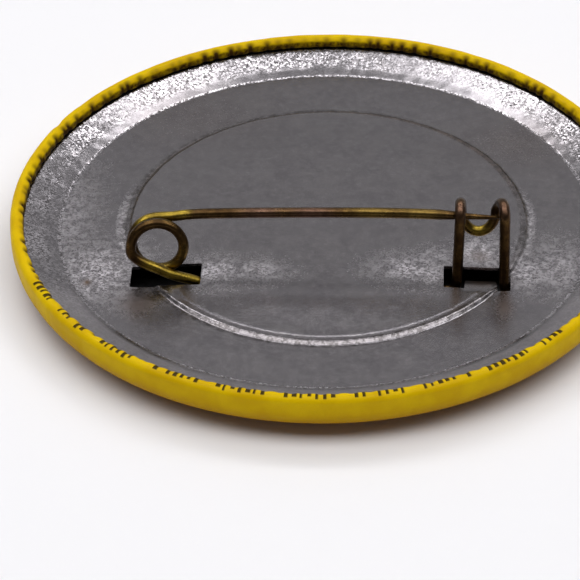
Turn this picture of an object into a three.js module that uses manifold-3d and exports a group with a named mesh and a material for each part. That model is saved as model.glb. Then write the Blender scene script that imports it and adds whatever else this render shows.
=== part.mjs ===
// A 57 mm pin-back button badge, lying on its domed front with the pin side up.
// Millimetres, +Z up. The origin is on the badge's axis at the crown of the front face,
// X runs along the pin, from its spring coil (-X) to its clasp (+X).

import * as THREE from 'three';
import { mergeVertices } from 'three/addons/utils/BufferGeometryUtils.js';
import Module from 'manifold-3d';

const wasm = await Module();
wasm.setup();

const DEG = Math.PI / 180;

// ---- Driving dimensions ----

// The pressed disc: a domed front, a turned-up wall and a rolled rim.
const BADGE_RADIUS = 28.575;
const CROWN_RADIUS = 8.5; // flat middle of the front, which the badge rests on
const BEND_RADIUS = 2.2; // where the dome turns up into the wall
const BEND_CENTRE_Z = 3.49;
const CURL_RADIUS = 0.625; // outside of the rolled rim
const CURL_CENTRE_Z = 4.4;
const CURL_TIP_Z = 4.1; // the rolled edge's end, just clear of the back plate

// The three layers of the disc, from the outside in.
const FILM_THICKNESS = 0.05;
const SHEET_THICKNESS = 0.1;
const SHELL_THICKNESS = 0.22;
const LAYER_GAP = 0.02;

// The back plate's upper face, from its rim to its middle.
const PLATE_THICKNESS = 0.3;
const PLATE_RADIUS = 28.08;
const LIP_RADIUS = 27.3; // where the dished band starts, under the rolled rim
const LIP_Z = 3.9;
const BAND_BREAK_RADIUS = 25.0; // the band is steeper inside this
const BAND_BREAK_Z = 3.2;
const CREASE_RADIUS = 24.2; // foot of the dished band
const ANNULUS_Z = 2.8;
const STEP_OUTER_RADIUS = 18.2; // the pressed ring
const STEP_INNER_RADIUS = 17.3;
const PLATEAU_Z = 3.3;

// The two slots that the wire comes up through.
const COIL_SLOT = { x: -14.0, length: 6.3 };
const CLASP_SLOT = { x: 13.72, length: 5.95 };
const SLOT_Y = -8.42;
const SLOT_WIDTH = 3.05;
const SLOT_CORNER = 0.3;

// The tongue of plate bent down into the clasp's slot, between its legs.
const TONGUE_X = 14.05;
const TONGUE_WIDTH = 2.6;
const TONGUE_LENGTH = 2.15;
const TONGUE_BEND = 16 * DEG;
const TONGUE_ROOT = 0.1; // how far its root reaches into the plate
const TONGUE_SINK = 0.02;

// The wire form. Its own frame has x along the bar, z up the form and y behind it; it leans
// back about the bar, which lies under the plate.
const WIRE_RADIUS = 0.48;
const WIRE_GAP = 0.3; // between two stretches of the one wire
const LEAN = 12 * DEG;
const BAR_Y = -8.9;
const BAR_Z = 2.0;
const BAR_START_X = -9.6;
const BAR_END_X = 10.6;

const COIL_X = -14.68;
const COIL_Z = 4.03;
const COIL_RADIUS = 2.32;
const COIL_PITCH = 1.4;
const COIL_FRONT_Y = -0.65;
const TAIL_ANGLE = 190; // degrees round the coil where the tail joins it
const FIXED_TURN = 280; // degrees of coil that stay with the tail
const MOVING_TURN_START = 290;
const ARM_ANGLE = 100; // degrees round the coil where the arm leaves it

const NEEDLE_Y = 1.1;
const NEEDLE_TIP_X = 16.2;
const TAPER_START_X = 10.4;

const LEFT_LEG_FOOT_X = 11.9;
const LEFT_LEG_X = 12.15;
const RIGHT_LEG_FOOT_X = 16.14;
const RIGHT_LEG_X = 16.12;
const LEG_BEND_RADIUS = 0.8;
const CROOK_RADIUS = 1.08;
const CROOK_CENTRE_Z = 6.92;
const BIGHT_LEFT_X = 12.25;
const BIGHT_RIGHT_X = 15.35;
const BIGHT_DROP = 2.02; // from the crooks' centres to the bottom of the U behind the needle
const FOOT_Z = -0.2;
const FOOT_END_X = 18.6;

// How finely round shapes are divided.
const DISC_SEGMENTS = 40;
const WIRE_SIDES = 8;
const COIL_STEP = 30; // degrees

// ---- Materials ----

const finish = (color, roughness, metalness) =>
  new THREE.MeshStandardMaterial({ color, roughness, metalness });

const tinplate = finish('#8f8c90', 0.35, 0.9);
const yellowPaper = finish('#dcbb0a', 0.7, 0);
const clearFilm = finish('#dcbb0a', 0.2, 0);
const agedBrass = finish('#6b5633', 0.4, 0.9);

function piece(name, geometry, material) {
  const mesh = new THREE.Mesh(geometry, material);
  mesh.name = name;
  return mesh;
}

// ---- The disc ----

// Points of an arc round (cx, cy), from one angle to another in degrees.
function arc(cx, cy, radius, from, to, steps) {
  return Array.from({ length: steps + 1 }, (_, i) => {
    const angle = (from + ((to - from) * i) / steps) * DEG;
    return new THREE.Vector2(cx + radius * Math.cos(angle), cy + radius * Math.sin(angle));
  });
}

// The disc's section at a depth inside its outer face, from the axis to the end of the curl.
function discProfile(depth) {
  const bendX = BADGE_RADIUS - BEND_RADIUS;
  const run = bendX - CROWN_RADIUS;
  const rise = BEND_CENTRE_Z - BEND_RADIUS;
  const domeLever = (run * run + rise * rise) / (2 * rise); // dome radius less bend radius
  const domeRadius = domeLever + BEND_RADIUS;
  const domeAngle = Math.asin(run / domeLever) / DEG;
  const curlX = BADGE_RADIUS - CURL_RADIUS;
  const curl = CURL_RADIUS - depth;
  return [
    new THREE.Vector2(0, depth),
    ...arc(CROWN_RADIUS, domeRadius, domeRadius - depth, -90, domeAngle - 90, 3),
    ...arc(bendX, BEND_CENTRE_Z, BEND_RADIUS - depth, domeAngle - 90, 0, 3).slice(1),
    ...arc(curlX, CURL_CENTRE_Z, curl, 0, 180, 6),
    new THREE.Vector2(curlX - curl, CURL_TIP_Z),
  ];
}

function lathe(profile) {
  return new THREE.LatheGeometry(profile, DISC_SEGMENTS);
}

function discLayer(name, depth, thickness, material) {
  const outer = discProfile(depth);
  const inner = discProfile(depth + thickness).reverse();
  return piece(name, lathe([...outer, ...inner]), material);
}

// ---- The back plate ----

function plateBlank() {
  const top = [
    [PLATE_RADIUS, LIP_Z],
    [LIP_RADIUS, LIP_Z],
    [BAND_BREAK_RADIUS, BAND_BREAK_Z],
    [CREASE_RADIUS, ANNULUS_Z],
    [STEP_OUTER_RADIUS, ANNULUS_Z],
    [STEP_INNER_RADIUS, PLATEAU_Z],
    [0, PLATEAU_Z],
  ].map(([r, z]) => new THREE.Vector2(r, z));
  const bottom = top.map(({ x, y }) => new THREE.Vector2(x, y - PLATE_THICKNESS)).reverse();
  return lathe([...bottom, ...top]);
}

function slotCutter({ x, length }) {
  const a = length / 2 - SLOT_CORNER;
  const b = SLOT_WIDTH / 2 - SLOT_CORNER;
  const outline = new THREE.Shape();
  outline.absarc(a, b, SLOT_CORNER, 0, 90 * DEG);
  outline.absarc(-a, b, SLOT_CORNER, 90 * DEG, 180 * DEG);
  outline.absarc(-a, -b, SLOT_CORNER, 180 * DEG, 270 * DEG);
  outline.absarc(a, -b, SLOT_CORNER, 270 * DEG, 360 * DEG);
  const depth = 4 * PLATE_THICKNESS + PLATEAU_Z - ANNULUS_Z;
  const cutter = new THREE.ExtrudeGeometry(outline, { depth, bevelEnabled: false, curveSegments: 2 });
  return cutter.translate(x, SLOT_Y, ANNULUS_Z - 2 * PLATE_THICKNESS);
}

function toSolid(geometry) {
  const bare = geometry.clone();
  bare.deleteAttribute('normal');
  bare.deleteAttribute('uv');
  const merged = mergeVertices(bare, 1e-4);
  const mesh = new wasm.Mesh({
    numProp: 3,
    vertProperties: new Float32Array(merged.attributes.position.array),
    triVerts: new Uint32Array(merged.index.array),
  });
  return new wasm.Manifold(mesh);
}

function toGeometry(solid) {
  const { vertProperties, triVerts } = solid.getMesh();
  const geometry = new THREE.BufferGeometry();
  geometry.setAttribute('position', new THREE.BufferAttribute(vertProperties, 3));
  geometry.setIndex(new THREE.BufferAttribute(triVerts, 1));
  geometry.computeVertexNormals();
  return geometry;
}

function tongue() {
  const box = new THREE.BoxGeometry(TONGUE_WIDTH, TONGUE_LENGTH, PLATE_THICKNESS);
  box.translate(0, TONGUE_LENGTH / 2, -PLATE_THICKNESS / 2).rotateX(-TONGUE_BEND);
  const nearEdge = SLOT_Y - SLOT_WIDTH / 2;
  return box.translate(TONGUE_X, nearEdge - TONGUE_ROOT, PLATEAU_Z - TONGUE_SINK);
}

// A lathe turns about Y, so the blank is stood up with its axis along Z before it is cut.
function backPlate() {
  const blank = toSolid(plateBlank().rotateX(90 * DEG));
  const pierced = [COIL_SLOT, CLASP_SLOT].reduce(
    (plate, slot) => plate.subtract(toSolid(slotCutter(slot))),
    blank,
  );
  return piece('back_plate', toGeometry(pierced.add(toSolid(tongue()))), tinplate);
}

// ---- The wire ----

// A route through given points, one step from each to the next.
class WireRoute extends THREE.Curve {
  constructor(points) {
    super();
    this.points = points;
  }

  getPoint(t, target = new THREE.Vector3()) {
    const place = t * (this.points.length - 1);
    const i = Math.min(Math.floor(place), this.points.length - 2);
    return target.lerpVectors(this.points[i], this.points[i + 1], place - i);
  }

  getPointAt(u, target) {
    return this.getPoint(u, target);
  }

  getTangentAt(u, target = new THREE.Vector3()) {
    const last = this.points.length - 1;
    const i = Math.round(u * last);
    const before = this.points[Math.max(i - 1, 0)];
    const after = this.points[Math.min(i + 1, last)];
    return target.subVectors(after, before).normalize();
  }
}

function wire(points) {
  const section = new THREE.Shape();
  section.absarc(0, 0, WIRE_RADIUS, 0, 360 * DEG);
  return new THREE.ExtrudeGeometry(section, {
    extrudePath: new WireRoute(points),
    steps: points.length - 1,
    curveSegments: WIRE_SIDES / 2,
  });
}

// A point of the wire form's coil, a given number of degrees on from where the tail joins it.
function coilPoint(turned) {
  const angle = (TAIL_ANGLE - turned) * DEG;
  return new THREE.Vector3(
    COIL_X + COIL_RADIUS * Math.cos(angle),
    COIL_FRONT_Y + (COIL_PITCH * turned) / 360,
    COIL_Z + COIL_RADIUS * Math.sin(angle),
  );
}

function coilPoints(from, to) {
  const steps = Math.round((to - from) / COIL_STEP);
  return Array.from({ length: steps + 1 }, (_, i) => coilPoint(from + ((to - from) * i) / steps));
}

function anchorBar() {
  const ends = [BAR_START_X, BAR_END_X].map((x) => new THREE.Vector3(x, 0, 0));
  return piece('anchor_bar', wire(ends), agedBrass);
}

// The tail comes up through its slot from the bar's end and winds into the front of the coil.
function springCoil() {
  const start = BAR_START_X - WIRE_GAP;
  const tail = [
    [start, 0, 0],
    [start - 0.5, 0.06, 0.22],
    [start - 1.35, 0, 0.67],
    [start - 3.1, -0.5, 1.4],
    [start - 3.85, -0.66, 1.72],
    [start - 4.7, -0.68, 2.14],
    [start - 5.9, -0.66, 2.66],
    [start - 6.65, -0.65, 3.1],
  ].map(([x, y, z]) => new THREE.Vector3(x, y, z));
  return piece('spring_coil', wire([...tail, ...coilPoints(0, FIXED_TURN)]), agedBrass);
}

// The arm leaves the back of the coil at its top and runs, slightly bowed, into the clasp.
function needle() {
  const armStart = TAIL_ANGLE + 360 - ARM_ANGLE;
  // Each point's x and z, and the share of the wire's radius that grinding has left there.
  const arm = [
    [-13.4, 6.46, 1],
    [-11.8, 6.67, 1],
    [-8.5, 6.82, 1],
    [0.6, 6.98, 1],
    [6.8, 6.98, 1],
    [TAPER_START_X, 6.88, 1],
    [11.7, 6.81, 0.8],
    [12.9, 6.75, 0.6],
    [14.5, 6.68, 0.44],
    [NEEDLE_TIP_X, 6.64, 0.12],
  ];
  const centres = arm.map(([x, z]) => new THREE.Vector3(x, NEEDLE_Y, z));
  const geometry = wire([...coilPoints(MOVING_TURN_START, armStart), ...centres]);
  const scales = arm.map(([, , scale]) => scale);
  return piece('needle', sharpened(geometry, centres, scales), agedBrass);
}

// Draws the end of a wire that runs along x in to a point, by a scale at each of its centres.
function sharpened(geometry, centres, scales) {
  const position = geometry.attributes.position;
  for (let i = 0; i < position.count; i++) {
    const x = Math.min(position.getX(i), NEEDLE_TIP_X);
    if (x <= TAPER_START_X) continue;
    const next = centres.findIndex((c) => c.x >= x - 1e-4);
    const share = (x - centres[next - 1].x) / (centres[next].x - centres[next - 1].x);
    const centre = new THREE.Vector3().lerpVectors(centres[next - 1], centres[next], share);
    const scale = THREE.MathUtils.lerp(scales[next - 1], scales[next], share);
    position.setY(i, centre.y + (position.getY(i) - centre.y) * scale);
    position.setZ(i, centre.z + (position.getZ(i) - centre.z) * scale);
  }
  return geometry;
}

// The clasp is two legs that hook over backwards and join in a U, which guards the point.
function clasp() {
  const b = LEG_BEND_RADIUS;
  const inForm = (x) => (p) => new THREE.Vector3(x + p.x, 0, p.y);
  const leftFoot = arc(-b, b, b, -90, 0, 4).map(inForm(LEFT_LEG_FOOT_X));
  const rightFoot = arc(b, FOOT_Z + b, b, 180, 270, 4).map(inForm(RIGHT_LEG_FOOT_X));
  const hook = (frontX, backX) => arc(CROOK_RADIUS, CROOK_CENTRE_Z, CROOK_RADIUS, 180, 0, 6).map(
    ({ x, y }, i, { length }) => {
      const round = i / (length - 1);
      return new THREE.Vector3(frontX + (backX - frontX) * round * round, x, y);
    },
  );
  const middle = (BIGHT_LEFT_X + BIGHT_RIGHT_X) / 2;
  const half = (BIGHT_RIGHT_X - BIGHT_LEFT_X) / 2;
  const bight = arc(0, 0, 1, 180, 360, 8).slice(1, -1).map(
    (p) => new THREE.Vector3(middle + half * p.x, 2 * CROOK_RADIUS, CROOK_CENTRE_Z + BIGHT_DROP * p.y),
  );
  const route = [
    new THREE.Vector3(BAR_END_X + WIRE_GAP, 0, 0),
    ...leftFoot,
    ...hook(LEFT_LEG_X, BIGHT_LEFT_X),
    ...bight,
    ...hook(RIGHT_LEG_X, BIGHT_RIGHT_X).reverse(),
    ...rightFoot,
    new THREE.Vector3(FOOT_END_X, 0, FOOT_Z),
  ];
  return piece('clasp', wire(route), agedBrass);
}

function wireForm() {
  const form = new THREE.Group();
  form.add(anchorBar(), springCoil(), needle(), clasp());
  form.position.set(0, BAR_Y, BAR_Z);
  form.rotation.x = -LEAN;
  return form;
}

// ---- The badge ----

const sheetDepth = FILM_THICKNESS + LAYER_GAP;
const shellDepth = sheetDepth + SHEET_THICKNESS + LAYER_GAP;
const disc = new THREE.Group();
disc.add(
  discLayer('clear_film', 0, FILM_THICKNESS, clearFilm),
  discLayer('printed_sheet', sheetDepth, SHEET_THICKNESS, yellowPaper),
  discLayer('front_shell', shellDepth, SHELL_THICKNESS, tinplate),
);
disc.rotation.x = 90 * DEG;

const badge = new THREE.Group();
badge.add(disc, backPlate(), wireForm());

export default badge;
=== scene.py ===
"""The looks of a 57 mm pin-back button badge, lying on its domed front with the pin side up.

Lengths are worked out in millimetres and turned into metres as each mesh is made.
X runs along the pin, from its coil (-X) to its clasp (+X), and Z points out of the back.
"""

import math
import random

import bpy
import numpy as np
from mathutils import Matrix, Vector, noise


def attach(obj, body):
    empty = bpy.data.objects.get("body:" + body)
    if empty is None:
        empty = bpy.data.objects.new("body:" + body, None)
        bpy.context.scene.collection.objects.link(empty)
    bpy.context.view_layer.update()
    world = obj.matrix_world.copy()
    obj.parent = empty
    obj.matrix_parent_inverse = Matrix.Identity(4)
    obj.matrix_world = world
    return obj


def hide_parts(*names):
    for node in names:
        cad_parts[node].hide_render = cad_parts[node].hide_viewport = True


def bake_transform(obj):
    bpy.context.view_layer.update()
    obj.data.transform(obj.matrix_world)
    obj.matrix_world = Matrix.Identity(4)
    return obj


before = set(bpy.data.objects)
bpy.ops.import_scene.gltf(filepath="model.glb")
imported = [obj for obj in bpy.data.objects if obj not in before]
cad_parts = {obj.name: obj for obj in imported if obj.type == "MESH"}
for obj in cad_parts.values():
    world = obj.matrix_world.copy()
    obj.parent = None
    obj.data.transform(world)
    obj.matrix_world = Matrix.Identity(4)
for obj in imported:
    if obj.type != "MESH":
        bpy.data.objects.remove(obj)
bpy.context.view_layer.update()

MM = 0.001

# ---- The badge's shape, in millimetres ----

BADGE_RADIUS = 28.575
CROWN_RADIUS = 8.5
BEND_RADIUS = 2.2
BEND_CENTRE_Z = 3.49
CURL_RADIUS = 0.625
CURL_CENTRE_RADIUS = BADGE_RADIUS - CURL_RADIUS
CURL_CENTRE_Z = 4.4
CURL_TIP_Z = 4.1

COVER_THICKNESS = 0.17
SHELL_DEPTH = 0.19
SHELL_THICKNESS = 0.22

PLATE_THICKNESS = 0.3
PLATE_RADIUS = 28.08
LIP_RADIUS = 27.3
CREASE_RADIUS = 24.2
BAND_BREAK_RADIUS = 25.0  # the band is slightly steeper inside this
ANNULUS_Z = 2.8
STEP_OUTER_RADIUS = 18.2  # the pressed ring
STEP_INNER_RADIUS = 17.15
STEP_CENTRE_X = 0.25
PLATEAU_Z = 3.3

COIL_SLOT = (-14.0, 6.3)  # middle and length
CLASP_SLOT = (13.72, 5.95)
SLOT_Y = -8.42
SLOT_WIDTH = 3.05
SLOT_CORNER = 0.16
TONGUE = (12.58, 15.52)  # the clasp slot's bent-down tongue, from one side to the other
TONGUE_ROOT_Y = -10.7
TONGUE_END_Y = -7.95
TONGUE_CURVE = 0.095  # how fast the tongue's slope grows

WIRE_RADIUS = 0.48
LEAN = math.radians(12)
BAR_Y = -8.9
BAR_Z = 2.0
BAR_START_X = -9.75
BAR_END_X = 10.75
COIL_X = -14.68
COIL_Z = 4.03
COIL_RADIUS = 2.32
COIL_PITCH = 1.4
COIL_FRONT_Y = -0.65
TAIL_ANGLE = 190
TURN_SEAM = 285
ARM_ANGLE = 100
NEEDLE_Y = 1.1
NEEDLE_TIP_X = 16.2
TAPER_START_X = 10.4
LEFT_LEG_FOOT_X = 11.9
LEFT_LEG_X = 12.15
RIGHT_LEG_FOOT_X = 16.14
RIGHT_LEG_X = 16.12
LEG_BEND_RADIUS = 0.8
CROOK_RADIUS = 1.08
CROOK_CENTRE_Z = 6.88
BIGHT_LEFT_X = 12.25
BIGHT_RIGHT_X = 15.35
BIGHT_DROP = 2.02
FOOT_Z = -0.2
FOOT_END_X = 18.6


# ---- Mesh helpers ----


def mesh_object(name, points, faces, smooth=True):
    """An object of points in millimetres, placed in the row frame."""
    mesh = bpy.data.meshes.new(name)
    mesh.from_pydata([tuple(c * MM for c in p) for p in points], [], faces)
    mesh.update()
    if smooth:
        mesh.shade_smooth()
    obj = bpy.data.objects.new(name, mesh)
    bpy.context.scene.collection.objects.link(obj)
    return obj


def arc(cx, cy, radius, start, end, steps):
    """Points of an arc round (cx, cy), from one angle to another in degrees."""
    angles = [math.radians(start + (end - start) * i / steps) for i in range(steps + 1)]
    return [(cx + radius * math.cos(a), cy + radius * math.sin(a)) for a in angles]


def smoothstep(low, high, value):
    t = min(max((value - low) / (high - low), 0.0), 1.0)
    return t * t * (3 - 2 * t)


def turned(name, profile, segments, place=None):
    """A solid of revolution about Z from a closed (r, z) profile whose first and last points are
    on the axis. place(r, z, angle) may move each point."""
    points = [(0.0, 0.0, profile[0][1])]
    ring = profile[1:-1]
    for k in range(segments):
        angle = 2 * math.pi * k / segments
        for r, z in ring:
            if place:
                r, z = place(r, z, angle)
            points.append((r * math.cos(angle), r * math.sin(angle), z))
    points.append((0.0, 0.0, profile[-1][1]))
    n, last = len(ring), len(points) - 1
    faces = []
    for k in range(segments):
        a, b = 1 + k * n, 1 + (k + 1) % segments * n
        faces.append((0, b, a))
        faces += [(a + i, b + i, b + i + 1, a + i + 1) for i in range(n - 1)]
        faces.append((last, a + n - 1, b + n - 1))
    return mesh_object(name, points, faces)


# ---- The disc ----


def disc_profile(depth):
    """The disc's section at a depth inside its outer face, from the axis to the end of the curl."""
    bend_x = BADGE_RADIUS - BEND_RADIUS
    run = bend_x - CROWN_RADIUS
    rise = BEND_CENTRE_Z - BEND_RADIUS
    lever = (run * run + rise * rise) / (2 * rise)
    dome = lever + BEND_RADIUS
    slope = math.degrees(math.asin(run / lever))
    curl = CURL_RADIUS - depth
    wall = [(BADGE_RADIUS - depth, BEND_CENTRE_Z + f * (CURL_CENTRE_Z - BEND_CENTRE_Z))
            for f in (0.25, 0.5, 0.75)]
    inner = [(CURL_CENTRE_RADIUS - curl, CURL_CENTRE_Z + f * (CURL_TIP_Z - CURL_CENTRE_Z))
             for f in (0.5, 1)]
    flat = [(CROWN_RADIUS * f, depth) for f in (0, 0.33, 0.66)]
    return (
        flat
        + arc(CROWN_RADIUS, dome, dome - depth, -90, slope - 90, 14)
        + arc(bend_x, BEND_CENTRE_Z, BEND_RADIUS - depth, slope - 90, 0, 14)[1:]
        + wall
        + arc(CURL_CENTRE_RADIUS, CURL_CENTRE_Z, curl, 0, 180, 22)
        + inner
    )


COVER_SEGMENTS = 1260
SHELL_SEGMENTS = 240

PLEATS = 142
rng = random.Random(7)
PLEAT_ANGLES = [2 * math.pi * (k + rng.uniform(-0.38, 0.38)) / PLEATS for k in range(PLEATS)]
PLEAT_DEPTHS = [rng.uniform(0.15, 1.0) for _ in range(PLEATS)]
PLEAT_WIDTH = 0.0115  # radians, half the width of a crease
PLEAT_DEPTH = 0.17
# Kinks and wrinkles where the film was pulled: angle in degrees, width in degrees, depth in mm.
KINKS = [(153.5, 1.2, 0.2), (150, 1.5, -0.08), (146, 1.2, 0.05), (208, 0.7, 0.05), (214, 0.6, 0.08)]
KINKS += [(219, 0.8, 0.05), (224, 0.7, 0.09), (230, 1.0, 0.04), (253, 0.8, 0.05), (318, 0.9, 0.04)]
# How far the film wanders from a true turned surface, slowly and in short ripples.
SLOW_WANDER = 0.02
WALL_RIPPLE, TOP_RIPPLE = 0.018, 0.02


def pleat(angle):
    """How deep the rolled edge's pleats are at an angle, from 0 to 1."""
    slot = int(angle / (2 * math.pi) * PLEATS)
    deepest = 0.0
    for k in (slot - 1, slot, slot + 1):
        gap = math.remainder(angle - PLEAT_ANGLES[k % PLEATS], 2 * math.pi)
        fall = math.exp(-((gap / PLEAT_WIDTH) ** 2))
        deepest = max(deepest, PLEAT_DEPTHS[k % PLEATS] * fall)
    return deepest


def kink(angle):
    """How deep the rim's kinks are at an angle, in millimetres, negative where it stands proud."""
    total = 0.0
    for centre, width, depth in KINKS:
        gap = math.remainder(angle - math.radians(centre), 2 * math.pi)
        total += depth * math.exp(-((gap / math.radians(width)) ** 2))
    return total


def curl_inside(r, z):
    """1 on the curl's inner side, falling to 0 at its top."""
    inward = smoothstep(CURL_CENTRE_RADIUS, CURL_CENTRE_RADIUS - 0.5, r)
    return inward * smoothstep(3.6, 4.0, z)


def drawn_round_rim(r, z, angle):
    """Pleats on the inside of the curl, faint puckers on the wall, and a few kinks."""
    on_wall = smoothstep(27.0, 28.0, r) * smoothstep(1.2, 2.4, z)
    round_rim = Vector((math.cos(angle), math.sin(angle), 0))
    ripple = noise.noise(round_rim * 16 + Vector((0, 0, z * 0.5)))
    slow = noise.noise(round_rim * 5 + Vector((0, 0, 3)))
    top = smoothstep(CURL_CENTRE_Z, CURL_CENTRE_Z + CURL_RADIUS, z)
    dent = pleat(angle) * curl_inside(r, z) * PLEAT_DEPTH
    kinked = kink(angle)
    in_by = 0.012 + WALL_RIPPLE * ripple + SLOW_WANDER * slow + max(kinked, -0.01) * 0.5
    down_by = 0.015 + SLOW_WANDER * slow + TOP_RIPPLE * ripple + 0.45 * max(kinked, 0)
    r = r + dent - on_wall * in_by
    z = z - top * down_by - dent * 0.6 * top
    return r, z


def mark_pleats(obj):
    """Stores how deep in a pleat each point of the cover lies, for its material."""
    stored = obj.data.attributes.new("pleat", "FLOAT", "POINT")
    for i, v in enumerate(obj.data.vertices):
        x, y, z = v.co / MM
        angle = math.atan2(y, x) % (2 * math.pi)
        stored.data[i].value = pleat(angle) * curl_inside(math.hypot(x, y), z)


def cover():
    """The yellow printed sheet under its clear film, drawn over the front and round the rim."""
    outer = disc_profile(0)
    inner = disc_profile(COVER_THICKNESS)[::-1]
    obj = turned("film_covered_sheet", outer + inner, COVER_SEGMENTS, drawn_round_rim)
    mark_pleats(obj)
    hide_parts("clear_film", "printed_sheet")
    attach(obj, "badge")
    return obj


def shell():
    """The tinplate disc under the sheet; only its inside shows, through the slots."""
    outer = disc_profile(SHELL_DEPTH)
    inner = disc_profile(SHELL_DEPTH + SHELL_THICKNESS)[::-1]
    obj = turned("tinplate_shell", outer + inner, SHELL_SEGMENTS)
    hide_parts("front_shell")
    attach(obj, "badge")
    return obj


# ---- The back plate ----

PLATE_SEGMENTS = 600
FINE_SPACING, COARSE_SPACING = 0.08, 0.27  # between rings of points
FINE_STEP_RADIUS = 17.8
SHARP_EDGE = math.radians(35)
CUT_FROM_Z, CUT_TO_Z = 1.4, 4.6

# The bends aren't quite true, and the sheet isn't quite even: how far each strays.
RAGGED, JAGGED = 0.07, 0.03
BROAD_UNEVEN, LOCAL_UNEVEN = 0.03, 0.01

CREASE_SOFTNESS = 0.13
INNER_BAND_SLOPE = 0.38
OUTER_BAND_SLOPE = 0.33

# The step's drop is shared by a slow sink in the plateau, a soft shoulder and a steep foot.
SINK_FROM_RADIUS, SINK_TO_RADIUS, SINK_SHARE = 11, 17.2, 0.45
SHOULDER_SHARE = 0.07
FOOT_WIDTH, FOOT_SHARE = 0.44, 0.48

BEAD_HEIGHT = 0.025
BEAD_HALF_WIDTH = 1.9
BEAD_LEFT = (-9.6, -7.2)  # where it starts to rise, and where it has risen
BEAD_RIGHT = (9.8, 7.4)


def band_height(r):
    """Height of the dished band over the flat ring, at a radius."""
    past = r - CREASE_RADIUS
    if past <= -CREASE_SOFTNESS:
        return 0.0
    if past < CREASE_SOFTNESS:
        return INNER_BAND_SLOPE * (past + CREASE_SOFTNESS) ** 2 / (4 * CREASE_SOFTNESS)
    inner = min(past, BAND_BREAK_RADIUS - CREASE_RADIUS)
    outer = max(min(r, LIP_RADIUS) - BAND_BREAK_RADIUS, 0)
    return INNER_BAND_SLOPE * inner + OUTER_BAND_SLOPE * outer


def plate_height(x, y):
    """Height of the plate's upper face: dished band, flat ring, pressed step and plateau."""
    r = math.hypot(x, y)
    ragged = RAGGED * noise.noise(Vector((x * 1.1, y * 1.1, 9.3)))
    z = ANNULUS_Z + band_height(r + ragged * smoothstep(22, 24, r) * smoothstep(27, 26, r))
    jagged = ragged + JAGGED * noise.noise(Vector((x * 4, y * 4, 2.2)))
    at = math.hypot(x - STEP_CENTRE_X, y) + 0.8 * jagged
    sink = smoothstep(SINK_FROM_RADIUS, SINK_TO_RADIUS, at)
    shoulder = smoothstep(STEP_INNER_RADIUS - 0.15, STEP_INNER_RADIUS + 0.2, at)
    foot = smoothstep(STEP_OUTER_RADIUS - FOOT_WIDTH, STEP_OUTER_RADIUS, at)
    dropped = SINK_SHARE * sink + SHOULDER_SHARE * shoulder + FOOT_SHARE * foot
    z += (PLATEAU_Z - ANNULUS_Z) * (1 - dropped)
    # a shallow bead over the hidden bar, between the slots
    across = abs(y - SLOT_Y) / BEAD_HALF_WIDTH
    along = smoothstep(*BEAD_LEFT, x) * smoothstep(*BEAD_RIGHT, x)
    z += BEAD_HEIGHT * along * (1 - smoothstep(0.7, 1.2, across))
    # the tongue between the clasp's legs curves down into its slot
    between = smoothstep(TONGUE[0] - 0.5, TONGUE[0], x) * smoothstep(TONGUE[1] + 0.35, TONGUE[1], x)
    past_root = max(min(y, TONGUE_END_Y + 0.2) - TONGUE_ROOT_Y, 0)
    z -= TONGUE_CURVE * between * past_root**2 * smoothstep(SLOT_Y + 1.2, SLOT_Y + 0.8, y)
    # handling has left the sheet very slightly uneven
    z += BROAD_UNEVEN * noise.noise(Vector((x * 0.11, y * 0.11, 0.4)))
    z += LOCAL_UNEVEN * noise.noise(Vector((x * 0.42, y * 0.42, 5.4)))
    return z


def plate_rings():
    """Radii of the plate's rings of points, closer together where it bends."""
    radii, r = [], 0.0
    while r < PLATE_RADIUS:
        bends = min(abs(r - s) for s in (LIP_RADIUS, CREASE_RADIUS, FINE_STEP_RADIUS))
        r += FINE_SPACING if bends < 1 else COARSE_SPACING
        radii.append(min(r, PLATE_RADIUS))
    return radii


def plate_blank():
    radii = plate_rings()
    segments = PLATE_SEGMENTS
    points, faces = [], []
    for side in (0, 1):
        drop = PLATE_THICKNESS * side
        points.append((0.0, 0.0, plate_height(0, 0) - drop))
        for r in radii:
            for k in range(segments):
                a = 2 * math.pi * k / segments
                x, y = r * math.cos(a), r * math.sin(a)
                points.append((x, y, plate_height(x, y) - drop))
    half = 1 + len(radii) * segments
    for k in range(segments):
        nxt = (k + 1) % segments
        faces.append((0, 1 + k, 1 + nxt))
        faces.append((half, half + 1 + nxt, half + 1 + k))
        for i in range(len(radii) - 1):
            a, b = 1 + i * segments, 1 + (i + 1) * segments
            faces.append((a + k, b + k, b + nxt, a + nxt))
            faces.append((half + a + nxt, half + b + nxt, half + b + k, half + a + k))
        edge = 1 + (len(radii) - 1) * segments
        faces.append((edge + k, half + edge + k, half + edge + nxt, edge + nxt))
    return mesh_object("pressed_back_plate", points, faces)


def slot_outline(slot):
    middle, length = slot
    a, b = length / 2 - SLOT_CORNER, SLOT_WIDTH / 2 - SLOT_CORNER
    outline = []
    for sx, sy, start in ((1, 1, 0), (-1, 1, 90), (-1, -1, 180), (1, -1, 270)):
        outline += arc(middle + sx * a, SLOT_Y + sy * b, SLOT_CORNER, start, start + 90, 5)
        if slot == CLASP_SLOT and start == 180:
            near = SLOT_Y - SLOT_WIDTH / 2
            outline += [(TONGUE[0], near), (TONGUE[0] + 0.1, TONGUE_END_Y)]
            outline += [(TONGUE[1] - 0.1, TONGUE_END_Y), (TONGUE[1], near)]
    return outline


def slot_cutter(slot):
    outline = slot_outline(slot)
    n = len(outline)
    points = [(x, y, z) for z in (CUT_FROM_Z, CUT_TO_Z) for x, y in outline]
    faces = [(i, (i + 1) % n, n + (i + 1) % n, n + i) for i in range(n)]
    faces += [tuple(range(n))[::-1], tuple(range(n, 2 * n))]
    return mesh_object("slot_cutter", points, faces, smooth=False)


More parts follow.
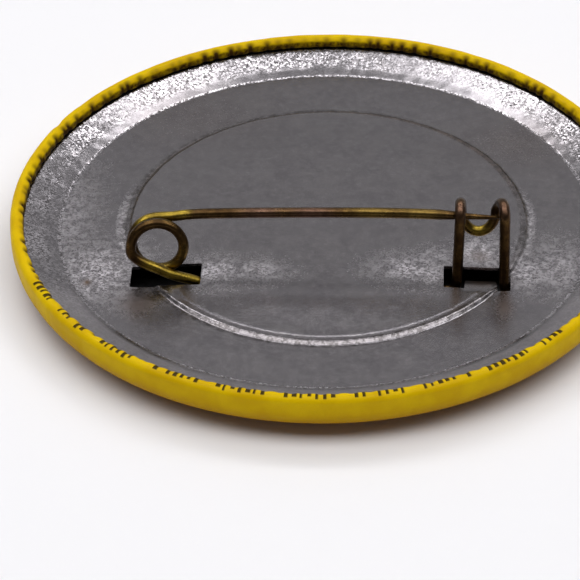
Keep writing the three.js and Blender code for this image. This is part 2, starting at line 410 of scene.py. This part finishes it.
def cut(obj, cutter):
    step = obj.modifiers.new("slot", "BOOLEAN")
    step.operation, step.solver, step.object = "DIFFERENCE", "EXACT", cutter
    apply_modifiers(obj)
    mesh = cutter.data
    bpy.data.objects.remove(cutter)
    bpy.data.meshes.remove(mesh)


def apply_modifiers(obj):
    depsgraph = bpy.context.evaluated_depsgraph_get()
    made = bpy.data.meshes.new_from_object(obj.evaluated_get(depsgraph))
    old = obj.data
    obj.modifiers.clear()
    obj.data = made
    made.name = old.name
    bpy.data.meshes.remove(old)


def back_plate():
    obj = plate_blank()
    for slot in (COIL_SLOT, CLASP_SLOT):
        cut(obj, slot_cutter(slot))
    obj.data.shade_smooth()
    obj.data.set_sharp_from_angle(angle=SHARP_EDGE)
    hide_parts("back_plate")
    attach(obj, "badge")
    return obj


# ---- The wire ----


def to_row(p):
    """A point of the leaning wire form, in the row frame."""
    x, y, z = p
    c, s = math.cos(LEAN), math.sin(LEAN)
    return (x, BAR_Y + y * c + z * s, BAR_Z - y * s + z * c)


COIL_STEP = 15  # degrees


def coil_point(turned_by):
    """A point of the coil, a number of degrees on from where the tail joins it."""
    angle = math.radians(TAIL_ANGLE - turned_by)
    return (
        COIL_X + COIL_RADIUS * math.cos(angle),
        COIL_FRONT_Y + COIL_PITCH * turned_by / 360,
        COIL_Z + COIL_RADIUS * math.sin(angle),
    )


def coil_points(start, end):
    steps = round((end - start) / COIL_STEP)
    return [coil_point(start + (end - start) * i / steps) for i in range(steps + 1)]


def smooth_route(points, spacing=0.12):
    """A Catmull-Rom curve through the points, resampled to an even spacing."""
    p = np.array(points, float)
    p = np.vstack([2 * p[0] - p[1], p, 2 * p[-1] - p[-2]])
    made = []
    for i in range(1, len(p) - 2):
        p0, p1, p2, p3 = p[i - 1 : i + 3]
        gaps = [max(np.linalg.norm(b - a), 1e-6) ** 0.5 for a, b in ((p0, p1), (p1, p2), (p2, p3))]
        t0, t1 = 0.0, gaps[0]
        t2 = t1 + gaps[1]
        t3 = t2 + gaps[2]
        for t in np.linspace(t1, t2, 24, endpoint=False):
            a1 = (t1 - t) / (t1 - t0) * p0 + (t - t0) / (t1 - t0) * p1
            a2 = (t2 - t) / (t2 - t1) * p1 + (t - t1) / (t2 - t1) * p2
            a3 = (t3 - t) / (t3 - t2) * p2 + (t - t2) / (t3 - t2) * p3
            b1 = (t2 - t) / (t2 - t0) * a1 + (t - t0) / (t2 - t0) * a2
            b2 = (t3 - t) / (t3 - t1) * a2 + (t - t1) / (t3 - t1) * a3
            made.append((t2 - t) / (t2 - t1) * b1 + (t - t1) / (t2 - t1) * b2)
    made.append(p[-2])
    made = np.array(made)
    lengths = np.concatenate([[0], np.cumsum(np.linalg.norm(np.diff(made, axis=0), axis=1))])
    count = max(round(lengths[-1] / spacing), 2)
    wanted = np.linspace(0, lengths[-1], count + 1)
    return np.stack([np.interp(wanted, lengths, made[:, k]) for k in range(3)], axis=1)


WIRE_SIDES = 28


def swept(name, route, radius_at, round_ends=(True, True)):
    """A round wire along a route of points, with domed ends. radius_at(point) is its radius."""
    tangents = np.gradient(route, axis=0)
    tangents /= np.linalg.norm(tangents, axis=1)[:, None]
    side = Vector((0, 1, 0))
    stations = [(Vector(c), Vector(t), float(radius_at(c))) for c, t in zip(route, tangents)]
    dome = [(0.0, 1.0), (0.35, 0.94), (0.7, 0.71), (0.92, 0.39)]
    if round_ends[0]:
        c, t, r = stations[0]
        stations = [(c - t * r * out * 0.6, t, r * size) for out, size in dome[:0:-1]] + stations
    if round_ends[1]:
        c, t, r = stations[-1]
        stations += [(c + t * r * out * 0.6, t, r * size) for out, size in dome[1:]]
    points, faces = [], []
    for centre, tangent, radius in stations:
        side = (side - tangent * side.dot(tangent)).normalized()
        up = tangent.cross(side)
        for k in range(WIRE_SIDES):
            a = 2 * math.pi * k / WIRE_SIDES
            points.append(centre + radius * (math.cos(a) * side + math.sin(a) * up))
    for i in range(len(stations) - 1):
        a, b = i * WIRE_SIDES, (i + 1) * WIRE_SIDES
        for k in range(WIRE_SIDES):
            nxt = (k + 1) % WIRE_SIDES
            faces.append((a + k, a + nxt, b + nxt, b + k))
    faces.append(tuple(range(WIRE_SIDES))[::-1])
    faces.append(tuple(range(len(points) - WIRE_SIDES, len(points))))
    return mesh_object(name, [to_row(p) for p in points], faces)


DRAWN_DOWN = 0.985  # the wire is this share of its nominal radius


def wire_thickness(seed):
    """The drawn wire's radius, which wavers very slightly along its length."""
    offset = Vector((seed, 0, 0))
    return lambda p: WIRE_RADIUS * (DRAWN_DOWN + 0.02 * noise.noise(Vector(p) * 0.9 + offset))


def finish_wire(obj, node, body):
    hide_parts(node)
    if body:
        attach(obj, body)
    return obj


def anchor_bar():
    route = smooth_route([(BAR_START_X, 0, 0), (0, 0, 0), (BAR_END_X, 0, 0)], 0.5)
    return finish_wire(swept("anchor_bar_wire", route, wire_thickness(1)), "anchor_bar", "pin_wire")


def spring_coil():
    start = BAR_START_X
    tail = [
        (start, 0, 0),
        (start - 0.65, 0.06, 0.2),
        (start - 1.5, 0, 0.67),
        (start - 3.25, -0.5, 1.4),
        (start - 4.0, -0.66, 1.72),
        (start - 4.85, -0.68, 2.14),
        (start - 6.05, -0.66, 2.66),
        (start - 6.8, -0.65, 3.1),
    ]
    route = smooth_route(tail + coil_points(0, TURN_SEAM))
    wire = swept("spring_coil_wire", route, wire_thickness(2), round_ends=(True, False))
    return finish_wire(wire, "spring_coil", "pin_wire")


def needle_radius(p):
    """The wire's own radius up to the clasp, then ground down to a point."""
    ground = [(TAPER_START_X, 1), (11.7, 0.8), (12.9, 0.6), (14.5, 0.44), (NEEDLE_TIP_X, 0.1)]
    return WIRE_RADIUS * DRAWN_DOWN * np.interp(p[0], *zip(*ground))


def needle():
    arm = [
        (-13.4, 6.46),
        (-11.8, 6.67),
        (-8.5, 6.82),
        (0.6, 6.98),
        (6.8, 6.98),
        (TAPER_START_X, 6.88),
        (13.9, 6.7),
        (NEEDLE_TIP_X, 6.64),
    ]
    arm_turn = TAIL_ANGLE + 360 - ARM_ANGLE
    route = smooth_route(coil_points(TURN_SEAM, arm_turn) + [(x, NEEDLE_Y, z) for x, z in arm])
    wire = swept("needle_wire", route, needle_radius, round_ends=(False, True))
    finish_wire(wire, "needle", None)
    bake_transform(wire)
    return wire


def clasp():
    b = LEG_BEND_RADIUS
    left_foot = [(x, 0, s) for x, s in arc(LEFT_LEG_FOOT_X - b, b, b, -90, 0, 6)]
    right_foot = [(x, 0, s) for x, s in arc(RIGHT_LEG_FOOT_X + b, FOOT_Z + b, b, 180, 270, 6)]
    middle = (BIGHT_LEFT_X + BIGHT_RIGHT_X) / 2
    half = (BIGHT_RIGHT_X - BIGHT_LEFT_X) / 2
    bight = [
        (middle + half * x, 2 * CROOK_RADIUS, CROOK_CENTRE_Z + BIGHT_DROP * s)
        for x, s in arc(0, 0, 1, 180, 360, 16)[1:-1]
    ]
    points = (
        [(BAR_END_X, 0, 0)]
        + left_foot
        + hook(LEFT_LEG_X, BIGHT_LEFT_X)
        + bight
        + hook(RIGHT_LEG_X, BIGHT_RIGHT_X)[::-1]
        + right_foot
        + [(FOOT_END_X - 0.3, 0, FOOT_Z)]
    )
    wire = swept("clasp_wire", smooth_route(points), wire_thickness(3))
    return finish_wire(wire, "clasp", "pin_wire")


def hook(front_x, back_x):
    """The top of a leg, bent over backwards and aside."""
    crook = arc(CROOK_RADIUS, CROOK_CENTRE_Z, CROOK_RADIUS, 180, 0, 12)
    return [(front_x + (back_x - front_x) * (i / 12) ** 2, q, s) for i, (q, s) in enumerate(crook)]


# ---- Materials ----


class Nodes:
    """Short forms for building a material's nodes."""

    def __init__(self, name):
        self.material = bpy.data.materials.new(name)
        self.material.use_nodes = True
        self.tree = self.material.node_tree
        self.tree.nodes.clear()
        self.shader = self.add("ShaderNodeBsdfPrincipled")
        out = self.add("ShaderNodeOutputMaterial")
        self.tree.links.new(self.shader.outputs["BSDF"], out.inputs["Surface"])
        coords = self.add("ShaderNodeTexCoord")
        scaled = self.add("ShaderNodeVectorMath", operation="SCALE")
        scaled.inputs["Scale"].default_value = 1000  # metres to millimetres
        self.tree.links.new(coords.outputs["Object"], scaled.inputs[0])
        self.place = scaled.outputs[0]

    def add(self, kind, **settings):
        node = self.tree.nodes.new(kind)
        for key, value in settings.items():
            setattr(node, key, value)
        return node

    def put(self, socket, value):
        if isinstance(value, bpy.types.NodeSocket):
            self.tree.links.new(value, socket)
        else:
            socket.default_value = value

    def set(self, **values):
        for key, value in values.items():
            self.put(self.shader.inputs[key.replace("_", " ")], value)

    def math(self, operation, a, b=0.0, clamp=False):
        node = self.add("ShaderNodeMath", operation=operation, use_clamp=clamp)
        for socket, value in zip(node.inputs, (a, b)):
            self.put(socket, value)
        return node.outputs[0]

    def noise(self, scale, detail=2.0, roughness=0.5, distortion=0.0):
        node = self.add("ShaderNodeTexNoise")
        self.put(node.inputs["Vector"], self.place)
        node.inputs["Scale"].default_value = scale
        node.inputs["Detail"].default_value = detail
        node.inputs["Roughness"].default_value = roughness
        node.inputs["Distortion"].default_value = distortion
        return node.outputs[0]

    def ramp(self, value, low, high, to_low=0.0, to_high=1.0):
        node = self.add("ShaderNodeMapRange", interpolation_type="SMOOTHSTEP")
        for key, v in (("Value", value), ("From Min", low), ("From Max", high)):
            self.put(node.inputs[key], v)
        self.put(node.inputs["To Min"], to_low)
        self.put(node.inputs["To Max"], to_high)
        return node.outputs[0]

    def mix(self, share, a, b):
        node = self.add("ShaderNodeMix", data_type="RGBA")
        self.put(node.inputs[0], share)
        self.put(node.inputs[6], a)
        self.put(node.inputs[7], b)
        return node.outputs[2]

    def axes(self, vector=None):
        node = self.add("ShaderNodeSeparateXYZ")
        self.put(node.inputs[0], vector or self.place)
        return node.outputs

    def bump(self, height, distance):
        node = self.add("ShaderNodeBump")
        self.put(node.inputs["Height"], height)
        node.inputs["Distance"].default_value = distance * MM
        node.inputs["Strength"].default_value = 1.0
        return node.outputs[0]

    def blob(self, x, y, reach_x, reach_y):
        """1 at a place on the plate, falling smoothly to 0 about reach away."""
        px, py, _ = self.axes()
        dx = self.math("DIVIDE", self.math("SUBTRACT", px, x), reach_x)
        dy = self.math("DIVIDE", self.math("SUBTRACT", py, y), reach_y)
        square = self.math("ADD", self.math("MULTIPLY", dx, dx), self.math("MULTIPLY", dy, dy))
        return self.math("EXPONENT", self.math("MULTIPLY", square, -1.0))

    def ball(self, centre, reach, strength):
        """strength at a point in millimetres, falling smoothly to 0 just past reach from it."""
        node = self.add("ShaderNodeVectorMath", operation="DISTANCE")
        self.put(node.inputs[0], self.place)
        node.inputs[1].default_value = centre
        fall = self.ramp(node.outputs["Value"], 0.0, 1.2 * reach, 1.0, 0.0)
        return self.math("MULTIPLY", fall, strength)


def srgb(r, g, b):
    """A colour given in 0 to 255 display values."""
    linear = [c / 255 / 12.92 if c <= 10 else ((c / 255 + 0.055) / 1.055) ** 2.4 for c in (r, g, b)]
    return (*linear, 1.0)


# The printed border: uneven ticks in cells of a pitch in millimetres, with a gap after each group.
MARK_PITCH = 0.68
MARKS_PER_GROUP = 9
GROUP_GAP = 0.2
MARK_LENGTH = 0.26
MARK_EDGE = (28.04, 28.16)  # the shortest tick's outer end, fading between these radii
MARKS_FROM, MARKS_TO = math.radians(-155), math.radians(-40)


def print_marks(n, radius, angle, z):
    """A plain printed border of uneven black ticks round the near side of the curl's top."""
    along = n.math("DIVIDE", n.math("MULTIPLY", angle, BADGE_RADIUS), MARK_PITCH)
    chance = n.add("ShaderNodeTexWhiteNoise", noise_dimensions="1D")
    n.put(chance.inputs["W"], n.math("FLOOR", along))
    _, present, length = n.axes(chance.outputs["Color"])
    width = n.math("ADD", n.math("MULTIPLY", chance.outputs["Value"], 0.4), 0.32)
    stroke = n.ramp(n.math("SUBTRACT", width, n.math("FRACT", along)), -0.1, 0.14)
    group = n.math("FRACT", n.math("DIVIDE", along, MARKS_PER_GROUP))
    spaced = n.math("GREATER_THAN", group, GROUP_GAP)
    after_start = n.math("GREATER_THAN", angle, MARKS_FROM)
    span = n.math("MULTIPLY", after_start, n.math("LESS_THAN", angle, MARKS_TO))
    reach = n.math("MULTIPLY", length, MARK_LENGTH)
    fade_from, fade_to = (n.math("ADD", reach, r) for r in MARK_EDGE)
    edge = n.ramp(radius, fade_from, fade_to, 1.0, 0.0)
    marks = n.math("MULTIPLY", stroke, n.math("LESS_THAN", present, 0.86))
    for part in (spaced, span, edge, n.math("GREATER_THAN", z, CURL_CENTRE_Z)):
        marks = n.math("MULTIPLY", marks, part)
    return marks


def cover_material():
    """Yellow printed paper seen through thin glossy film, with small printed ticks at the rim."""
    n = Nodes("film_over_yellow_sheet")
    x, y, z = n.axes()
    radius = n.math("SQRT", n.math("ADD", n.math("MULTIPLY", x, x), n.math("MULTIPLY", y, y)))
    angle = n.math("ARCTAN2", y, x)
    cloud = n.noise(0.35, 3)
    fibre = n.noise(9, 4, 0.7)
    base = n.mix(n.ramp(cloud, 0.35, 0.65), srgb(205, 167, 0), srgb(218, 183, 0))
    base = n.mix(n.ramp(fibre, 0.3, 0.7, 0.0, 0.22), base, srgb(190, 152, 0))
    # painted shade: the film is painted dark brown where it is tucked down inside the curl, unevenly,
    # most of all in its pleats
    inside = n.math("MULTIPLY", n.ramp(radius, 27.33, 27.46, 1.0, 0.0), n.ramp(z, 3.9, 4.2))
    pleat_depth = n.add("ShaderNodeAttribute", attribute_name="pleat").outputs["Fac"]
    tuck_shade_noise = n.noise(2.2, 3, 0.6)
    tucked_shade = n.math("ADD", n.math("MULTIPLY", inside, n.ramp(tuck_shade_noise, 0.3, 0.7, 0.45, 0.95)),
                    n.math("MULTIPLY", pleat_depth, 1.3), clamp=True)
    base = n.mix(tucked_shade, base, srgb(64, 42, 10))
    # and it is painted deeper in colour low on the wall, as painted shade
    base = n.mix(n.ramp(z, 0.7, 4.3, 1.0, 0.0), base, srgb(150, 98, 0))
    base = n.mix(n.math("MULTIPLY", print_marks(n, radius, angle, z), 0.93), base, srgb(24, 16, 10))
    n.set(Base_Color=base, Roughness=0.55, IOR=1.48, Specular_IOR_Level=0.05)
    n.set(Coat_Weight=0.05, Coat_Roughness=0.16, Coat_IOR=1.49)
    wrinkle = n.noise(1.3, 3, 0.55, distortion=0.6)
    fine = n.noise(14, 2)
    height = n.math("ADD", n.math("MULTIPLY", wrinkle, 0.8), n.math("MULTIPLY", fine, 0.05))
    normal = n.bump(height, 0.05)
    n.set(Normal=normal, Coat_Normal=normal)
    return n.material


# Where handling has worn the plate to bright speckle: x, y, reach in x and y, strength.
WORN = [
    (-24.2, 1.0, 3.4, 9.0, 0.6),
    (-20.2, -7.8, 4.2, 4.2, 1.0),
    (-9.6, -8.2, 2.4, 2.0, 1.0),
    (-5.8, -8.0, 2.8, 1.8, 0.7),
    (7.6, -7.4, 3.4, 2.2, 0.9),
    (9.6, -8.6, 1.6, 1.6, 0.9),
    (10.0, -5.2, 1.8, 1.4, 0.6),
    (14.0, -4.6, 2.2, 2.2, 1.0),
    (18.2, -7.4, 1.6, 2.6, 0.9),
    (21.0, -6.4, 3.0, 4.0, 0.65),
    (24.4, -10.0, 2.4, 4.5, 0.5),
]
# Brown stains, in the same form.
STAINS = [
    (-16.2, -12.4, 1.6, 1.7, 0.5),
    (16.1, -12.4, 0.8, 1.7, 0.55),
    (-21.0, -9.3, 0.32, 0.42, 0.9),
    (13.9, -5.3, 0.9, 0.8, 0.35),
    (14.1, -8.4, 1.9, 1.1, 0.85),
    (-12.5, 17.0, 7.0, 5.0, 0.15),
    (17.5, 13.0, 5.0, 4.0, 0.2),
]


CRYSTALS_PER_MM = 6.2


def plate_material():
    """Old bare tinplate: grey and semi-glossy, with bright crystalline speckle where it is worn, and
    the same speckle painted as highlights on the far band, the crease and the ring's ends.
    """
    n = Nodes("aged_tinplate")
    x, y, _ = n.axes()
    radius = n.math("SQRT", n.math("ADD", n.math("MULTIPLY", x, x), n.math("MULTIPLY", y, y)))
    patch = n.noise(0.5, 4, 0.6, distortion=0.4)
    mottle = n.noise(1.7, 4, 0.66)
    # the far side of the dished band is painted bright all over as a painted reflection; the near side
    # keeps the dull skin colour
    far = n.ramp(y, -16.0, -2.0, 0.12, 1.0)
    crease = n.math("MULTIPLY", n.ramp(radius, 24.0, 24.12), n.ramp(radius, 24.3, 24.45, 1.0, 0.0))
    outer = n.ramp(n.math("ADD", radius, n.math("MULTIPLY", patch, 1.6)), 25.5, 26.4)
    # the crease is painted bright: partly wear on its ridge, partly painted highlight, brighter on the
    # far side
    crease_wear_and_highlight = n.math("MULTIPLY", crease, n.ramp(far, 0, 1, 0.75, 1.0))
    band = n.math("MAXIMUM", n.math("MULTIPLY", far, outer), crease_wear_and_highlight)
    cloud = n.math("MAXIMUM", n.ramp(n.noise(0.33, 3, 0.6), 0.4, 0.6, 0.45, 1.0), crease)
    wear_and_highlight = n.math("MULTIPLY", band, cloud)
    for place in WORN:
        patchy = n.math("MULTIPLY", n.blob(*place[:4]), n.ramp(mottle, 0.36, 0.6, 0.15, place[4]))
        wear_and_highlight = n.math("MAXIMUM", wear_and_highlight, patchy)
    # the outside of the pressed ring is painted with bright speckle at its left and right ends, a
    # painted highlight
    ring_end_highlight = n.math("MULTIPLY", n.ramp(radius, 18.1, 18.3), n.ramp(radius, 18.6, 19.3, 0.75, 0.0))
    ends = n.math("MULTIPLY", n.ramp(y, -10.0, -6.0), n.ramp(y, 1.0, 7.0, 1.0, 0.0))
    ring_end_highlight = n.math("MULTIPLY", ring_end_highlight, n.ramp(mottle, 0.36, 0.6, 0.2, 1.0))
    wear_and_highlight = n.math("MAXIMUM", wear_and_highlight, n.math("MULTIPLY", ring_end_highlight, ends))
    stains_and_step_shade = 0.0
    for place in STAINS:
        stains_and_step_shade = n.math("MAXIMUM", stains_and_step_shade, n.math("MULTIPLY", n.blob(*place[:4]), place[4]))
    # painted shade: the pressed ring's step is painted brown, more on the far side
    in_step = n.math("MULTIPLY", n.ramp(radius, 17.5, 17.75), n.ramp(radius, 17.95, 18.25, 1.0, 0.0))
    stains_and_step_shade = n.math("MAXIMUM", stains_and_step_shade, n.math("MULTIPLY", in_step, n.ramp(y, 2.0, 9.0, 0.1, 0.5)))
    crystal = n.add("ShaderNodeTexVoronoi", feature="F1")
    n.put(crystal.inputs["Vector"], n.place)
    crystal.inputs["Scale"].default_value = CRYSTALS_PER_MM
    glint = n.axes(crystal.outputs["Color"])[0]
    skin = n.mix(n.ramp(patch, 0.3, 0.7), srgb(136, 132, 136), srgb(146, 142, 145))
    skin = n.mix(n.ramp(mottle, 0.4, 0.75, 0.0, 0.5), skin, srgb(158, 155, 158))
    bare = n.mix(n.ramp(glint, 0.15, 0.75), srgb(118, 114, 116), srgb(204, 199, 204))
    base = n.mix(wear_and_highlight, skin, bare)
    # brown stains, and the painted shade in the pressed step
    base = n.mix(stains_and_step_shade, base, srgb(104, 84, 68))
    # the ring's shiny foot is dulled in places
    foot = n.math("MULTIPLY", n.ramp(radius, 17.5, 17.7), n.ramp(radius, 18.3, 18.6, 1.0, 0.0))
    dulled = n.math("MULTIPLY", foot, n.ramp(n.noise(1.4, 4, 0.75), 0.4, 0.62, 0.0, 0.85))
    base = n.mix(dulled, base, srgb(96, 92, 92))
    n.set(Base_Color=base, Metallic=1.0)
    grain = n.noise(4.2, 3, 0.65)
    rough = n.math("ADD", n.ramp(grain, 0.3, 0.7, 0.2, 0.26), n.math("MULTIPLY", stains_and_step_shade, 0.15))
    on_flat = n.ramp(radius, 23.8, 24.2, 1.0, 0.0)
    rubbed = n.math("MULTIPLY", wear_and_highlight, on_flat)
    rough = n.math("ADD", rough, n.math("MULTIPLY", rubbed, 0.3))
    near_band = n.math("MULTIPLY", n.ramp(radius, 24.3, 24.9), n.ramp(far, 0.2, 0.6, 0.3, 0.0))
    n.set(Roughness=n.math("ADD", rough, near_band))
    tilt = n.math("SUBTRACT", n.ramp(wear_and_highlight, 0.1, 1.0, 0.006, 0.185), n.math("MULTIPLY", rubbed, 0.1))
    tilt = n.math("MAXIMUM", tilt, 0.006)
    uneven = n.bump(n.math("ADD", grain, patch), 0.01)
    n.set(Normal=crystalline(n, crystal.outputs["Color"], tilt, uneven))
    return n.material


def crystalline(n, colour, tilt, normal):
    """Tips each small crystal's face its own way: colour is random in each, from 0 to 1."""
    centred = n.add("ShaderNodeVectorMath", operation="SUBTRACT")
    n.put(centred.inputs[0], colour)
    centred.inputs[1].default_value = (0.5, 0.5, 0.5)
    scaled = n.add("ShaderNodeVectorMath", operation="SCALE")
    n.put(scaled.inputs[0], centred.outputs[0])
    n.put(scaled.inputs["Scale"], tilt)
    tipped = n.add("ShaderNodeVectorMath", operation="ADD")
    n.put(tipped.inputs[0], scaled.outputs[0])
    n.put(tipped.inputs[1], normal)
    unit = n.add("ShaderNodeVectorMath", operation="NORMALIZE")
    n.put(unit.inputs[0], tipped.outputs[0])
    return unit.outputs[0]


def shell_material():
    n = Nodes("bare_tinplate")
    grain = n.noise(3.5, 3, 0.6)
    n.set(Base_Color=n.mix(grain, srgb(84, 82, 84), srgb(112, 110, 112)), Metallic=1.0)
    n.set(Roughness=n.ramp(grain, 0.3, 0.7, 0.4, 0.55), Normal=n.bump(grain, 0.02))
    return n.material


# Painted highlights on the brass, in gold, dull gold and coppery colours: x, y, z and reach.
GOLD_HIGHLIGHTS = [
    (-15.9, -6.6, 7.9, 1.3),
    (-14.0, -6.3, 8.6, 1.5),
    (-12.6, -6.4, 8.8, 1.1),
    (-11.8, -9.1, 2.8, 1.9),
    (-13.6, -9.3, 3.6, 1.5),
    (-15.2, -9.0, 4.4, 1.3),
    (13.9, -5.5, 6.4, 1.5),
]
DULL_GOLD_HIGHLIGHTS = [
    (4.4, -6.4, 8.8, 2.6),
    (8.6, -6.4, 8.8, 2.4),
    (-12.4, -8.2, 5.4, 1.6),
    (-14.7, -8.0, 4.6, 1.8),
]
COPPERY_HIGHLIGHTS = [
    (12.2, -7.2, 9.9, 1.3),
    (15.9, -7.2, 9.9, 1.3),
    (-5.5, -6.4, 8.8, 2.6),
    (-1.0, -6.4, 8.8, 2.6),
]


def wire_material():
    """Brass wire under a dark patina, with gold and coppery highlights painted along some stretches.
    """
    n = Nodes("aged_brass_wire")
    blotch = n.noise(1.1, 4, 0.62)
    drawn = n.noise(5.0, 3, 0.6)
    base = n.mix(n.ramp(blotch, 0.38, 0.66), srgb(62, 45, 27), srgb(92, 70, 40))
    # painted highlights: stretches of the wire coloured gold, dull gold or coppery
    highlight_tints = (
        (DULL_GOLD_HIGHLIGHTS, srgb(120, 98, 50)),
        (GOLD_HIGHLIGHTS, srgb(164, 140, 52)),
        (COPPERY_HIGHLIGHTS, srgb(98, 74, 61)),
    )
    for places, colour in highlight_tints:
        for *place, reach in places:
            base = n.mix(n.ball(place, reach, n.ramp(blotch, 0.3, 0.6, 0.65, 1.0)), base, colour)
    base = n.mix(n.ramp(drawn, 0.45, 0.75, 0.0, 0.35), base, srgb(44, 30, 18))
    n.set(Base_Color=base, Metallic=1.0)
    n.set(Roughness=n.ramp(blotch, 0.3, 0.7, 0.36, 0.26))
    n.set(Normal=n.bump(n.math("ADD", drawn, blotch), 0.02))
    return n.material


def dress(pieces):
    cover_piece, shell_piece, plate_piece, *wires = pieces
    cover_piece.data.materials.append(cover_material())
    shell_piece.data.materials.append(shell_material())
    plate_piece.data.materials.clear()
    plate_piece.data.materials.append(plate_material())
    brass = wire_material()
    for wire in wires:
        wire.data.materials.append(brass)


# ---- Floor, light and camera ----

CAMERA_AZIMUTH = math.radians(2.9)
CAMERA_ELEVATION = math.radians(36.7)
CAMERA_ROLL = math.radians(1.135)
CAMERA_DISTANCE = 0.35
CAMERA_LENS = 239.2
# How far the view's middle lies from the badge's axis, to the right and up, in metres.
AIM_RIGHT = -0.00325
AIM_UP = -0.00603
PLATE_FACE_Z = ANNULUS_Z * MM


def camera():
    a, e, roll = CAMERA_AZIMUTH, CAMERA_ELEVATION, CAMERA_ROLL
    back = Vector((math.sin(a) * math.cos(e), -math.cos(a) * math.cos(e), math.sin(e)))
    right = Vector((math.cos(a), math.sin(a), 0))
    up = back.cross(right)
    rolled_right = right * math.cos(roll) - up * math.sin(roll)
    rolled_up = right * math.sin(roll) + up * math.cos(roll)
    place = rolled_right * AIM_RIGHT + rolled_up * AIM_UP + back * CAMERA_DISTANCE
    place.z += PLATE_FACE_Z
    data = bpy.data.cameras.new("camera")
    data.lens, data.sensor_width = CAMERA_LENS, 36
    data.clip_start, data.clip_end = 0.01, 10
    data.dof.use_dof = False
    obj = bpy.data.objects.new("camera", data)
    axes = Matrix((rolled_right, rolled_up, back)).transposed()
    obj.matrix_world = Matrix.Translation(place) @ axes.to_4x4()
    bpy.context.scene.collection.objects.link(obj)
    bpy.context.scene.camera = obj


FLOOR_HALF = 1500
FLOOR_COLOUR = (0.86, 0.852, 0.876, 1.0)


def floor():
    corners = [(x * FLOOR_HALF, y * FLOOR_HALF, 0) for x, y in ((-1, -1), (1, -1), (1, 1), (-1, 1))]
    obj = mesh_object("floor", corners, [(0, 1, 2, 3)], smooth=False)
    n = Nodes("pale_floor")
    n.set(Base_Color=FLOOR_COLOUR, Roughness=0.6, Specular_IOR_Level=0.1)
    obj.data.materials.append(n.material)


def area_light(name, place, aim, size, radiance):
    """A soft panel of a width and height in metres, and of a brightness that the floor would
    show if it filled the sky."""
    data = bpy.data.lights.new(name, "AREA")
    data.shape = "RECTANGLE"
    data.size, data.size_y = size
    data.energy = radiance * math.pi * size[0] * size[1]
    obj = bpy.data.objects.new(name, data)
    obj.location = place
    obj.rotation_mode = "QUATERNION"
    obj.rotation_quaternion = (Vector(aim) - Vector(place)).to_track_quat("-Z", "Y")
    bpy.context.scene.collection.objects.link(obj)


# The lights: name, place, what they point at, width and height, and brightness.
LIGHTS = [
    ("long_softbox", (0, 0.262, 0.426), (0, 0, 0), (0.9, 0.07), 3.4),
    ("left_softbox", (-0.19, 0.22, 0.5), (0, 0, 0), (0.26, 0.16), 2.5),
    ("right_softbox", (0.19, 0.22, 0.5), (0, 0, 0), (0.26, 0.16), 2.5),
    ("back_panel", (0, 0.62, 0.29), (0, 0, 0.02), (2.4, 0.58), 0.29),
    ("overhead", (0, -0.12, 0.5), (0, 0, 0), (1.1, 0.32), 2.6),
    ("overhead_fill", (0, 0.1, 0.52), (0, 0, 0), (1.1, 0.13), 0.3),
]
SURROUNDINGS = (0.1, 0.1, 0.102, 1)


def studio():
    world = bpy.data.worlds.new("studio")
    world.use_nodes = True
    world.node_tree.nodes["Background"].inputs["Color"].default_value = SURROUNDINGS
    bpy.context.scene.world = world
    for light in LIGHTS:
        area_light(*light)
    bpy.context.scene.view_settings.view_transform = "Standard"


# ---- The scene ----

camera()
floor()
studio()
dress([cover(), shell(), back_plate(), anchor_bar(), spring_coil(), needle(), clasp()])
